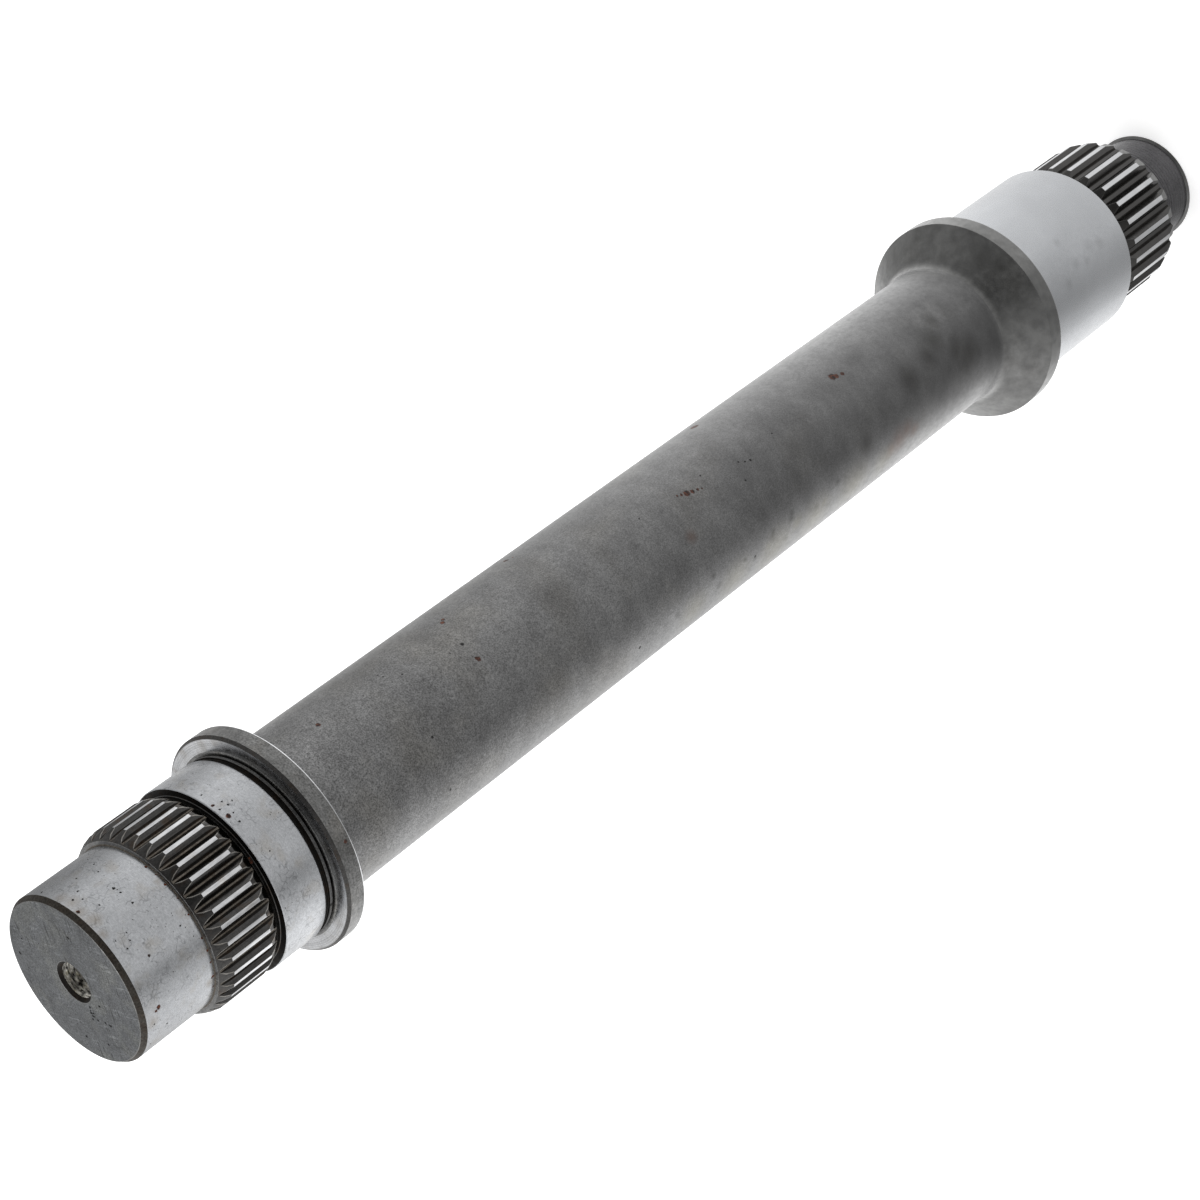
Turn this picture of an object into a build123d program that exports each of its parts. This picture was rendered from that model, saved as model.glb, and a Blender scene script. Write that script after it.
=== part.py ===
from build123d import *
from math import cos, radians, sin, tan
import os

# Output shaft of a gearbox: one bar of steel, turned, splined near both ends and ground on its seats.
# It stands on its threaded end, at the origin, with its axis on Z and its pilot end up.
# Sizes run upwards from the threaded end. Lengths are along the axis, angles are from it.

# Threaded end, for a nut of 39 mm by 1.5 mm pitch, modelled at the crests
thread_radius = 19.5
thread_length = 13.6
thread_chamfer = 0.3
neck_radius = 18.5
neck_length = 10.0

# Drive spline
drive_teeth = 24
drive_tip_radius = 27.3
drive_root_radius = 25.1
drive_floor_width = 1.9
drive_flank_angle = 39.0
drive_spline_length = 30.85
drive_end_depth = 1.2
drive_relief_depth = 0.2
drive_relief_length = 3.95

# Large seat, with a grinding groove against the large collar
large_seat_radius = 30.0
large_seat_length = 49.85
large_groove_depth = 0.5
large_groove_length = 2.5

# Large collar and the flare that carries it
large_collar_radius = 34.8
large_collar_length = 6.15
large_collar_break = 0.5
flare_angle = 47.2
flare_fillet = 7.5

# Body, which tapers very slightly towards the large collar
body_length = 309.05
body_lower_radius = 23.85
body_upper_radius = 24.25

# Small collar
small_collar_radius = 32.5
small_collar_length = 5.8
small_collar_bevel = 0.75
small_collar_root_chamfer = 2.0

# Undercut between the small collar's face and the small seat, with a land left standing in it
undercut_radius = 26.7
lower_groove_length = 0.55
land_radius = 27.3
land_length = 1.05
upper_groove_length = 1.6
face_foot_radius = 27.8
face_foot_width = 0.4
face_foot_height = 0.15

# Small seat, with the groove between it and the pilot spline
small_seat_radius = 27.5
small_seat_length = 14.1
runout_groove_depth = 0.35
runout_groove_length = 1.0

# Pilot spline, whose gaps line up with none of the drive spline's
pilot_teeth = 36
pilot_tip_radius = 27.1
pilot_root_radius = 25.7
pilot_floor_width = 0.8
pilot_flank_angle = 45.0
pilot_spline_length = 20.65
pilot_lower_bevel = 0.42
pilot_upper_bevel = 0.59
pilot_wall_margin = 0.2
pilot_spline_turn = 1.18

# Pilot
pilot_radius = 24.25
pilot_length = 24.0
pilot_chamfer_width = 1.0
pilot_chamfer_length = 1.4

# Ends of the teeth: a steep lead-in, with a shallow bevel between it and the tips
lead_angle = 30.0
bevel_angle = 16.0

# Centre hole in each end: a countersink and a bore at the tapping size of a 12 mm thread
centre_mouth_radius = 6.1
centre_cone_angle = 45.0
centre_bore_radius = 5.1
centre_bore_depth = 26.0


def run(rise, angle):
    return rise / tan(radians(angle))


# Stations, from the threaded end up
neck_z = thread_length
drive_z = neck_z + neck_length
drive_relief_z = drive_z + drive_spline_length
large_seat_z = drive_relief_z + drive_relief_length
large_groove_z = large_seat_z + large_seat_length
large_collar_z = large_groove_z + large_groove_length
flare_z = large_collar_z + large_collar_length
flare_cone_rise = large_collar_radius - body_lower_radius - flare_fillet * (1 - cos(radians(flare_angle)))
flare_arc_z = flare_z + run(flare_cone_rise, flare_angle)
body_z = flare_arc_z + flare_fillet * sin(radians(flare_angle))
small_collar_z = body_z + body_length
undercut_z = small_collar_z + small_collar_length
land_z = undercut_z + lower_groove_length
upper_groove_z = land_z + land_length
small_seat_z = upper_groove_z + upper_groove_length
runout_groove_z = small_seat_z + small_seat_length
pilot_spline_z = runout_groove_z + runout_groove_length
pilot_z = pilot_spline_z + pilot_spline_length
top_z = pilot_z + pilot_length

# Radii and steps that follow from the sizes above
drive_relief_radius = drive_root_radius - drive_relief_depth
drive_end_radius = drive_tip_radius - drive_end_depth
runout_groove_radius = pilot_root_radius - runout_groove_depth
pilot_lower_bevel_radius = pilot_tip_radius - pilot_lower_bevel
pilot_upper_bevel_radius = pilot_tip_radius - pilot_upper_bevel
pilot_wall_radius = pilot_root_radius - pilot_wall_margin
pilot_lower_lead_z = pilot_spline_z + run(pilot_lower_bevel_radius - runout_groove_radius, lead_angle)
pilot_upper_lead_z = pilot_z - run(pilot_upper_bevel_radius - pilot_wall_radius, lead_angle)

lower_outline = [
    (0, 0),
    (thread_radius - thread_chamfer, 0),
    (thread_radius, thread_chamfer),
    (thread_radius, neck_z - (thread_radius - neck_radius)),
    (neck_radius, neck_z),
    (neck_radius, drive_z),
    (drive_end_radius, drive_z),
    (drive_tip_radius, drive_z + run(drive_end_depth, bevel_angle)),
    (drive_tip_radius, drive_relief_z - run(drive_tip_radius - drive_relief_radius, lead_angle)),
    (drive_relief_radius, drive_relief_z),
    (drive_relief_radius, large_seat_z),
    (large_seat_radius, large_seat_z),
    (large_seat_radius, large_groove_z),
    (large_seat_radius - large_groove_depth, large_groove_z + large_groove_depth),
    (large_seat_radius - large_groove_depth, large_collar_z),
    (large_collar_radius - large_collar_break, large_collar_z),
    (large_collar_radius, large_collar_z + large_collar_break),
    (large_collar_radius, flare_z),
    (body_lower_radius + flare_fillet * (1 - cos(radians(flare_angle))), flare_arc_z),
]

upper_outline = [
    (body_lower_radius, body_z),
    (body_upper_radius, small_collar_z),
    (small_collar_radius, small_collar_z),
    (small_collar_radius, undercut_z - small_collar_bevel),
    (small_collar_radius - small_collar_bevel, undercut_z),
    (face_foot_radius + face_foot_width, undercut_z),
    (face_foot_radius, undercut_z + face_foot_height),
    (undercut_radius, undercut_z + face_foot_height),
    (undercut_radius, land_z),
    (land_radius, land_z),
    (land_radius, upper_groove_z),
    (undercut_radius, upper_groove_z),
    (undercut_radius, small_seat_z),
    (small_seat_radius, small_seat_z),
    (small_seat_radius, runout_groove_z),
    (runout_groove_radius, runout_groove_z),
    (runout_groove_radius, pilot_spline_z),
    (pilot_lower_bevel_radius, pilot_lower_lead_z),
    (pilot_tip_radius, pilot_lower_lead_z + run(pilot_lower_bevel, bevel_angle)),
    (pilot_tip_radius, pilot_upper_lead_z - run(pilot_upper_bevel, bevel_angle)),
    (pilot_upper_bevel_radius, pilot_upper_lead_z),
    (pilot_wall_radius, pilot_z),
    (pilot_radius, pilot_z),
    (pilot_radius, top_z - pilot_chamfer_length),
    (pilot_radius - pilot_chamfer_width, top_z),
    (0, top_z),
]


def gap_outline(tip_radius, root_radius, floor_width, flank_angle):
    """Corners of the gap between two teeth, from its floor to clear of the tips."""
    height = 2 * (tip_radius - root_radius)
    floor_half = floor_width / 2
    mouth_half = floor_half + height * tan(radians(flank_angle))
    return [(0, -floor_half), (height, -mouth_half), (height, mouth_half), (0, floor_half)]


def centre_hole_outline(face_z, inward):
    """Half section of a centre hole that starts at this height and runs up (1) or down (-1)."""
    corners = [
        (0, 0),
        (centre_mouth_radius, 0),
        (centre_bore_radius, run(centre_mouth_radius - centre_bore_radius, centre_cone_angle)),
        (centre_bore_radius, centre_bore_depth),
        (0, centre_bore_depth),
    ]
    return [(radius, face_z + inward * depth) for radius, depth in corners]


with BuildPart() as output_shaft:
    # The blank, turned to the tips of both splines
    with BuildSketch(Plane.XZ):
        with BuildLine():
            lower = Polyline(*lower_outline)
            flare = JernArc(
                start=upper_outline[0],
                tangent=(0, -1),
                radius=flare_fillet,
                arc_size=flare_angle,
            )
            upper = Polyline(*upper_outline)
            Line(upper @ 1, lower @ 0)
        outline = make_face()
        collar_root = outline.vertices().sort_by_distance((body_upper_radius, small_collar_z))[0]
        chamfer(collar_root, length=small_collar_root_chamfer)
    revolve(axis=Axis.Z)

    # Gaps of the drive spline, cut from the neck to the relief under the large seat
    with BuildSketch(Plane.XY.offset(neck_z)):
        with PolarLocations(drive_root_radius, drive_teeth, start_angle=180 / drive_teeth):
            Polygon(
                *gap_outline(drive_tip_radius, drive_root_radius, drive_floor_width, drive_flank_angle),
                align=None,
            )
    extrude(amount=large_seat_z - drive_relief_length / 2 - neck_z, mode=Mode.SUBTRACT)

    # Gaps of the pilot spline, cut from the runout groove to over the pilot
    with BuildSketch(Plane.XY.offset(pilot_spline_z - runout_groove_length / 2)):
        with PolarLocations(pilot_root_radius, pilot_teeth, start_angle=pilot_spline_turn):
            Polygon(
                *gap_outline(pilot_tip_radius, pilot_root_radius, pilot_floor_width, pilot_flank_angle),
                align=None,
            )
    extrude(amount=pilot_spline_length + runout_groove_length, mode=Mode.SUBTRACT)

    # Centre holes
    with BuildSketch(Plane.XZ):
        Polygon(*centre_hole_outline(0, 1), align=None)
        Polygon(*centre_hole_outline(top_z, -1), align=None)
    revolve(axis=Axis.Z, mode=Mode.SUBTRACT)

output_shaft.part.label = "output_shaft"

os.makedirs("parts", exist_ok=True)
export_step(output_shaft.part, "parts/output_shaft.step")
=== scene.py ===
import bpy
import math
from mathutils import Matrix, Vector


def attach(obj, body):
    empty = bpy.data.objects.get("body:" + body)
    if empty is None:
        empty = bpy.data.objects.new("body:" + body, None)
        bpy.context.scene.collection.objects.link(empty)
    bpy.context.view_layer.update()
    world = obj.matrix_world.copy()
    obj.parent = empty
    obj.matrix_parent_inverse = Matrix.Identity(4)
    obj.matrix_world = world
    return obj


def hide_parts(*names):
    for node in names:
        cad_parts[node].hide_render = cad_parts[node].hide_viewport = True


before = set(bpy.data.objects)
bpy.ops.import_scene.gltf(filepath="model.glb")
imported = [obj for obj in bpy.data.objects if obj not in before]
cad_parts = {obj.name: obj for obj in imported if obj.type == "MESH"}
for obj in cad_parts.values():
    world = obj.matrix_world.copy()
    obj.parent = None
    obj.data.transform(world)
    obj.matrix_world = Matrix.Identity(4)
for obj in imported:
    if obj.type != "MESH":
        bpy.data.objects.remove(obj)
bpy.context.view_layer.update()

mm = 0.001
cameraAzimuth = -90.25    # degrees, the side of the shaft that faces the camera
leastAngle = 12.5         # degrees between two faces, from which their edge is sharp
wideRounding = 0.28       # mm, above which a rounding has two strips
tipMargin = 0.1           # mm, rows of the skin that are further below the tips lie in a lead
fullClimb = 0.5           # mm above the gap's floor, from which a tooth's roundings have their full radius


def linear(hexColour):
    parts = [int(hexColour[i:i + 2], 16) / 255 for i in (1, 3, 5)]
    return [c / 12.92 if c <= 0.04045 else ((c + 0.055) / 1.055) ** 2.4 for c in parts] + [1.0]


# Adds a node. An entry is a property, the value of an input, or the node or output that an input is linked to
def addNode(tree, kind, entries=None):
    node = tree.nodes.new(kind)
    for name, value in (entries or {}).items():
        if isinstance(value, bpy.types.Node):
            tree.links.new(value.outputs[0], node.inputs[name])
        elif isinstance(value, bpy.types.NodeSocket):
            tree.links.new(value, node.inputs[name])
        elif isinstance(name, str) and hasattr(node, name):
            setattr(node, name, value)
        else:
            node.inputs[name].default_value = value
    return node


# Shaft: sizes in millimetres, heights counted up from the threaded end's face
shaft = {
    "coreRadius": 18.58, "neckFoot": 13.6, "neckRadius": 18.5, "neckRun": 0.1,
    "endFaceRadius": 19.2, "endRingRadius": 19.45, "endRingHeight": 0.28,
    "driveFoot": 23.6, "driveTop": 54.45, "driveFaceRadius": 24.6, "driveEndRadius": 26.1,
    "driveBevelMiddle": 26.7, "reliefRadius": 24.9,
    "largeSeatFoot": 58.4, "largeSeatTop": 108.25, "largeSeatRadius": 30.0, "largeGrooveRadius": 29.5,
    "largeCollarFoot": 110.75, "largeCollarTop": 116.9, "largeCollarRadius": 34.8, "largeCollarBreak": 0.5,
    "flareAngle": 47.2, "flareFillet": 7.5, "flareSteps": 14, "flareBlasted": 4,
    "bodyFoot": 130.316, "bodyTop": 439.366, "bodyLowerRadius": 23.85, "bodyUpperRadius": 24.25,
    "lowerRows": (180, 230), "upperRows": (335, 390),
    "smallCollarTop": 445.166, "smallCollarRadius": 32.5, "smallCollarBevel": 0.75,
    "smallCollarFillet": 3.0, "smallCollarSteps": 8,
    "undercutRadius": 26.7, "landFoot": 445.716, "landTop": 446.766, "landRadius": 27.3,
    "footRadius": 27.8, "footWidth": 0.4, "footHeight": 0.15,
    "smallSeatFoot": 448.366, "smallSeatTop": 462.466, "smallSeatRadius": 27.5,
    "runoutRadius": 25.35, "pilotSplineFoot": 463.466, "pilotSplineTop": 484.116,
    "pilotLowerBevel": 0.42, "pilotUpperBevel": 0.59, "pilotWallRadius": 25.5,
    "pilotRadius": 24.25, "top": 508.116, "pilotChamferWidth": 1.0, "pilotChamferLength": 1.4,
    "leadAngle": 30.0, "bevelAngle": 16.0,
    "mouthRadius": 6.1, "coneAngle": 45.0, "coneEndRadius": 5.15, "boreRadius": 5.1, "boreDepth": 26.0,
    "tapRadius": 5.95, "tapDepth": 20.0, "tapLeadIn": 0.4, "tapRunout": 0.5,
    "middle": 285.0,          # where the two halves of the skin meet
    "mergeDistance": 0.004,
}

# Teeth: segments are those of the floor, foot, flank, tip corner and tip of half a gap. Lower and upper leads
# are the radii of the skin's rows where the ends of the teeth slope. Floor and lead are finishes.
driveTeeth = {
    "count": 24, "tipRadius": 27.3, "rootRadius": 25.1, "floorWidth": 1.9, "flankAngle": 39.0,
    "firstGap": 7.5, "tipRound": 0.25, "leadRound": 0.25, "footRound": 0.6, "segments": (2, 3, 2, 2, 3),
    "upperLead": (26.6, 26.0, 25.5), "floor": "flank", "lead": "flank",
}
pilotTeeth = {
    "count": 36, "tipRadius": 27.1, "rootRadius": 25.7, "floorWidth": 0.8, "flankAngle": 45.0,
    "firstGap": 1.18, "tipRound": 0.19, "leadRound": 0.45, "footRound": 0.5, "segments": (1, 2, 2, 2, 1),
    # The pilot's lead takes the lighter edge finish: a painted highlight on the lead-in of the teeth
    "lowerLead": (26.0, 26.35), "upperLead": (26.1,), "floor": "oilFilm", "lead": "edge",
}

# Threads: turns that fade in and out at their ends, meant to stand out from the end (side 1) and into the
# holes (side -1). Known fault: in the mesh they face the other way, lie in the metal and hardly show.
endThread = {
    "radius": 18.58, "pitch": 1.5, "start": 0.95, "turns": 7.7, "rootWidth": 1.44, "crestWidth": 0.36,
    "depth": 0.92, "side": 1, "pointsPerTurn": 96, "fade": 0.06, "finish": "thread",
}
holeThread = {
    "radius": 5.98, "pitch": 1.75, "start": 1.7, "turns": 9.8, "rootWidth": 1.55, "crestWidth": 0.3,
    "depth": 0.86, "side": -1, "pointsPerTurn": 48, "fade": 0.05, "finish": "bore",
}
standOff = 0.44    # share of its depth by which the middle of a turn stands off the thread's radius

finishNames = [
    "ground", "land", "turned", "collar", "collarFace", "faced", "chamfer", "oilFilm", "flank", "grime",
    "edge", "thread", "bore",
]


def run(rise, angle):
    return rise / math.tan(math.radians(angle))


def bodyRadius(height):
    s = shaft
    share = (height - s["bodyFoot"]) / (s["bodyTop"] - s["bodyFoot"])
    return s["bodyLowerRadius"] + (s["bodyUpperRadius"] - s["bodyLowerRadius"]) * share


# A corner of an outline in the plane, cut to a short arc
def roundCorner(before, corner, after, radius, segments):
    flatHalf, mostTrim, nothing = math.radians(89.5), 0.45, 1e-6
    a, b, c = Vector(before), Vector(corner), Vector(after)
    toA, toC = a - b, c - b
    if radius <= 0 or toA.length < nothing or toC.length < nothing:
        return [tuple(b)] * (segments + 1)
    half = toA.angle(toC) / 2
    if half > flatHalf:
        return [tuple(b)] * (segments + 1)
    trim = min(radius / math.tan(half), mostTrim * toA.length, mostTrim * toC.length)
    start, end = b + toA.normalized() * trim, b + toC.normalized() * trim
    arc = []
    for i in range(segments + 1):
        t = i / segments
        arc.append(tuple(start.lerp(b, t).lerp(b.lerp(end, t), t)))
    return arc


# Rows of the skin from corners: radius, height, rounding, finish above, toothed, the rounding's own finish
def skinRows(corners):
    rows = []
    for i, (radius, height, rounding, finish, toothed, *onArc) in enumerate(corners):
        if rounding == 0:
            rows.append((radius, height, finish, toothed))
            continue
        segments = 2 if rounding > wideRounding else 1
        arc = roundCorner(corners[i - 1][:2], (radius, height), corners[i + 1][:2], rounding, segments)
        rows += [(r, z, (onArc or [finish])[0], toothed) for r, z in arc[:-1]]
        rows.append((*arc[-1], finish, toothed))
    return rows


# Half a gap and half a tooth, as points on a ring of this radius
def halfPitch(radius, teeth, tipRound):
    floorSegs, footSegs, flankSegs, tipSegs, landSegs = teeth["segments"]
    root, floorHalf = teeth["rootRadius"], teeth["floorWidth"] / 2
    slope = math.tan(math.radians(teeth["flankAngle"]))
    ring = max(radius, root)
    a, b = 1 + slope ** 2, 2 * (root + floorHalf * slope)
    c = root ** 2 + floorHalf ** 2 - ring ** 2
    climb = max((-b + math.sqrt(max(b * b - 4 * a * c, 0))) / (2 * a), 0)
    foot, corner = (root, floorHalf), (root + climb, floorHalf + climb * slope)
    toothAngle = math.pi / teeth["count"]
    ringTop = max(ring, math.hypot(*corner))
    midLand = (math.atan2(corner[1], corner[0]) + toothAngle) / 2
    onLand = (ringTop * math.cos(midLand), ringTop * math.sin(midLand))
    share = min(climb / fullClimb, 1)
    footArc = roundCorner((root, 0), foot, corner, teeth["footRound"] * share, footSegs)
    tipArc = roundCorner(foot, corner, onLand, tipRound * share, tipSegs)
    points = [(root, footArc[0][1] * i / floorSegs) for i in range(floorSegs)] + footArc
    for i in range(1, flankSegs):
        points.append(tuple(Vector(footArc[-1]).lerp(Vector(tipArc[0]), (i / flankSegs) ** 2)))
    points += tipArc
    endAngle = math.atan2(tipArc[-1][1], tipArc[-1][0])
    for i in range(1, landSegs + 1):
        angle = endAngle + (toothAngle - endAngle) * i / landSegs
        points.append((ringTop * math.cos(angle), ringTop * math.sin(angle)))
    if radius < root:
        points = [tuple(Vector(p).normalized() * radius) for p in points]
    return points


# One tooth pitch of the skin, from the middle of a tooth to the middle of the next
def sectorMesh(name, rows, teeth, twistFoot=0.0):
    half = sum(teeth["segments"])
    step = math.pi / teeth["count"] / half
    floorEnd = teeth["segments"][0]
    footEnd = floorEnd + teeth["segments"][1]
    landFrom = half - teeth["segments"][4]
    edgeFrom = landFrom - teeth["segments"][3]
    leadBelow = teeth["tipRadius"] - tipMargin
    points, faces, finish, starts = [], [], [], []
    for index, (radius, height, _, toothed) in enumerate(rows):
        starts.append(len(points))
        if radius == 0:
            points.append((0, 0, height))
            continue
        if toothed:
            side = halfPitch(radius, teeth, teeth["leadRound" if radius < leadBelow else "tipRound"])
        else:
            side = [(radius * math.cos(step * i), radius * math.sin(step * i)) for i in range(half + 1)]
        ring = [(x, -y) for x, y in reversed(side[1:])] + side
        turn = Matrix.Rotation(math.radians(0 if index else twistFoot), 2)
        points += [(*(turn @ Vector(p)), height) for p in ring]
    for i in range(len(rows) - 1):
        for j in range(2 * half):
            a, b = starts[i] + j, starts[i + 1] + j
            if rows[i][0] == 0:
                faces.append((starts[i], b + 1, b))
            elif rows[i + 1][0] == 0:
                faces.append((a, a + 1, starts[i + 1]))
            else:
                faces.append((a, a + 1, b + 1, b))
            across = abs(j + 0.5 - half)
            key = rows[i][2]
            if rows[i][3] and rows[i + 1][3] and across < landFrom:
                # Gaps: the floor, then the near-black finish on the feet and the first strip of each flank,
                # which is painted shade in the gap's corners, then the flank
                key = teeth["floor"] if across < floorEnd else "grime" if across < footEnd + 1 else "flank"
                if across > edgeFrom and min(rows[i][0], rows[i + 1][0]) < leadBelow:
                    key = teeth["lead"]
            finish.append(finishNames.index(key))
    mesh = bpy.data.meshes.new(name)
    mesh.from_pydata([(x * mm, y * mm, z * mm) for x, y, z in points], [], faces)
    layer = mesh.attributes.new("finish", "INT", "FACE")
    layer.data.foreach_set("value", finish)
    sector = bpy.data.objects.new(name, mesh)
    bpy.context.collection.objects.link(sector)
    return sector


# Centre hole: a countersink, a bore at the size of the thread's grooves and a plain end
def holeCorners(faceHeight, inward):
    s = shaft
    coneDepth = run(s["mouthRadius"] - s["coneEndRadius"], s["coneAngle"])
    corners = [
        (s["mouthRadius"], 0, 0.2),
        (s["coneEndRadius"], coneDepth, 0),
        (s["tapRadius"], coneDepth + s["tapLeadIn"], 0),
        (s["tapRadius"], s["tapDepth"], 0),
        (s["boreRadius"], s["tapDepth"] + s["tapRunout"], 0),
        (s["boreRadius"], s["boreDepth"], 0),
        (0, s["boreDepth"], 0),
    ]
    rows = [
        (radius, faceHeight + inward * depth, rounding, "bore", False)
        for radius, depth, rounding in corners]
    # The countersink takes the near-black finish: painted shade in the mouth of the hole
    rows[0] = rows[0][:3] + ("grime", False, "collar")
    return rows


# Threaded end, drive spline, large seat, large collar and the lower half of the body
def lowerCorners():
    s, t = shaft, driveTeeth
    root, tip, top = t["rootRadius"], t["tipRadius"], s["driveTop"]
    endRun = run(tip - s["driveEndRadius"], s["bevelAngle"])
    grooveDepth = s["largeSeatRadius"] - s["largeGrooveRadius"]
    corners = list(reversed(holeCorners(0, 1)))
    corners[-1] = corners[-1][:3] + ("thread", False)
    corners += [
        (s["endFaceRadius"], 0, 0.1, "thread", False),
        (s["endRingRadius"], s["endRingHeight"], 0, "collar", False),
        (s["coreRadius"], endThread["start"], 0, "thread", False),
        (s["coreRadius"], s["neckFoot"] - s["neckRun"], 0, "thread", False),
        (s["neckRadius"], s["neckFoot"], 0, "thread", False),
        (s["neckRadius"], s["driveFoot"], 0, "flank", False),
        (s["driveFaceRadius"], s["driveFoot"], 0, "flank", False),
        (s["driveEndRadius"], s["driveFoot"], 0.2, "collar", True),
        (s["driveBevelMiddle"], s["driveFoot"] + endRun / 2, 0, "collar", True),
        (tip, s["driveFoot"] + endRun, 0.5, "land", True),
        (tip, top - run(tip - s["reliefRadius"], s["leadAngle"]), 0.15, "flank", True),
    ]
    for radius in (*t["upperLead"], root):
        corners.append((radius, top - run(radius - s["reliefRadius"], s["leadAngle"]), 0, "flank", True))
    corners += [
        (s["reliefRadius"], top, 0, "flank", False),
        (s["reliefRadius"], s["largeSeatFoot"], 0, "flank", False),
        (s["largeSeatRadius"], s["largeSeatFoot"], 0.35, "ground", False),
        (s["largeSeatRadius"], s["largeSeatTop"], 0, "collar", False),
        (s["largeGrooveRadius"], s["largeSeatTop"] + grooveDepth, 0, "collar", False),
        (s["largeGrooveRadius"], s["largeCollarFoot"], 0.2, "collar", False),
        (s["largeCollarRadius"], s["largeCollarFoot"], s["largeCollarBreak"], "collar", False),
        (s["largeCollarRadius"], s["largeCollarTop"], 0.15, "collar", False),
    ]
    for i in range(s["flareSteps"] + 1):
        angle = math.radians(s["flareAngle"]) * (1 - i / s["flareSteps"])
        radius = s["bodyLowerRadius"] + s["flareFillet"] * (1 - math.cos(angle))
        finish = "collar" if i < s["flareSteps"] - s["flareBlasted"] else "turned"
        corners.append((radius, s["bodyFoot"] - s["flareFillet"] * math.sin(angle), 0, finish, False))
    for height in (*s["lowerRows"], s["middle"]):
        corners.append((bodyRadius(height), height, 0, "turned", False))
    return corners


# Upper half of the body, small collar, undercut, small seat, pilot spline and pilot
def upperCorners():
    s, t = shaft, pilotTeeth
    root, tip = t["rootRadius"], t["tipRadius"]
    heights = (s["middle"], *s["upperRows"])
    corners = [(bodyRadius(height), height, 0, "turned", False) for height in heights]
    fillet = s["smallCollarFillet"]
    for i in range(s["smallCollarSteps"] + 1):
        angle = math.radians(90) * i / s["smallCollarSteps"]
        radius = s["bodyUpperRadius"] + fillet * (1 - math.cos(angle))
        corners.append((radius, s["bodyTop"] - fillet * (1 - math.sin(angle)), 0, "collar", False))
    foot, top = s["pilotSplineFoot"], s["pilotSplineTop"]
    lowBevel, highBevel = tip - s["pilotLowerBevel"], tip - s["pilotUpperBevel"]
    lowLead = foot + run(lowBevel - s["runoutRadius"], s["leadAngle"])
    highLead = top - run(highBevel - s["pilotWallRadius"], s["leadAngle"])
    corners += [
        # The rounding under the small collar takes the bright tip finish: a painted highlight line
        (s["smallCollarRadius"], s["bodyTop"], 0.4, "collar", False, "land"),
        (s["smallCollarRadius"], s["smallCollarTop"] - s["smallCollarBevel"], 0.12, "flank", False),
        (s["smallCollarRadius"] - s["smallCollarBevel"], s["smallCollarTop"], 0, "collarFace", False),
        (s["footRadius"] + s["footWidth"], s["smallCollarTop"], 0, "collar", False),
        (s["footRadius"], s["smallCollarTop"] + s["footHeight"], 0, "collar", False),
        # The floors and walls of the undercut and the groove beside the land, and the shoulder above the
        # small seat, take the near-black finish: painted shade in the recesses
        (s["undercutRadius"], s["smallCollarTop"] + s["footHeight"], 0, "grime", False),
        (s["undercutRadius"], s["landFoot"], 0, "grime", False),
        (s["landRadius"], s["landFoot"], 0.12, "collar", False),
        (s["landRadius"], s["landTop"], 0.12, "grime", False),
        (s["undercutRadius"], s["landTop"], 0.15, "grime", False),
        (s["undercutRadius"], s["smallSeatFoot"], 0.15, "grime", False),
        (s["smallSeatRadius"], s["smallSeatFoot"], 0.3, "ground", False),
        (s["smallSeatRadius"], s["smallSeatTop"], 0.2, "grime", False, "ground"),
        (s["runoutRadius"], s["smallSeatTop"], 0.15, "flank", False),
        (s["runoutRadius"], foot, 0, "flank", False),
    ]
    for radius in (root, *t["lowerLead"]):
        corners.append((radius, foot + run(radius - s["runoutRadius"], s["leadAngle"]), 0, "flank", True))
    corners += [
        (lowBevel, lowLead, 0.1, "flank", True),
        (tip, lowLead + run(s["pilotLowerBevel"], s["bevelAngle"]), 0.3, "land", True),
        (tip, highLead - run(s["pilotUpperBevel"], s["bevelAngle"]), 0.3, "flank", True),
        (highBevel, highLead, 0.1, "flank", True),
    ]
    for radius in (*t["upperLead"], root):
        corners.append((radius, top - run(radius - s["pilotWallRadius"], s["leadAngle"]), 0, "flank", True))
    corners += [
        (s["pilotWallRadius"], top, 0.1, "collar", False),
        (s["pilotRadius"], top, 0.3, "ground", False, "oilFilm"),
        (s["pilotRadius"], s["top"] - s["pilotChamferLength"], 0.25, "chamfer", False),
        (s["pilotRadius"] - s["pilotChamferWidth"], s["top"], 0.25, "faced", False, "collar"),
    ]
    return corners + holeCorners(s["top"], -1)


# The halves' columns don't line up, so the foot of the upper half is turned to the nearest column
print("shaft: one tooth pitch of each half")
columnStep = 180 / (pilotTeeth["count"] * sum(pilotTeeth["segments"]))
twist = round(pilotTeeth["firstGap"] / columnStep) * columnStep - pilotTeeth["firstGap"]
lowerSector = sectorMesh("lowerSector", skinRows(lowerCorners()), driveTeeth)
upperSector = sectorMesh("upperSector", skinRows(upperCorners()), pilotTeeth, twist)


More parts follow.
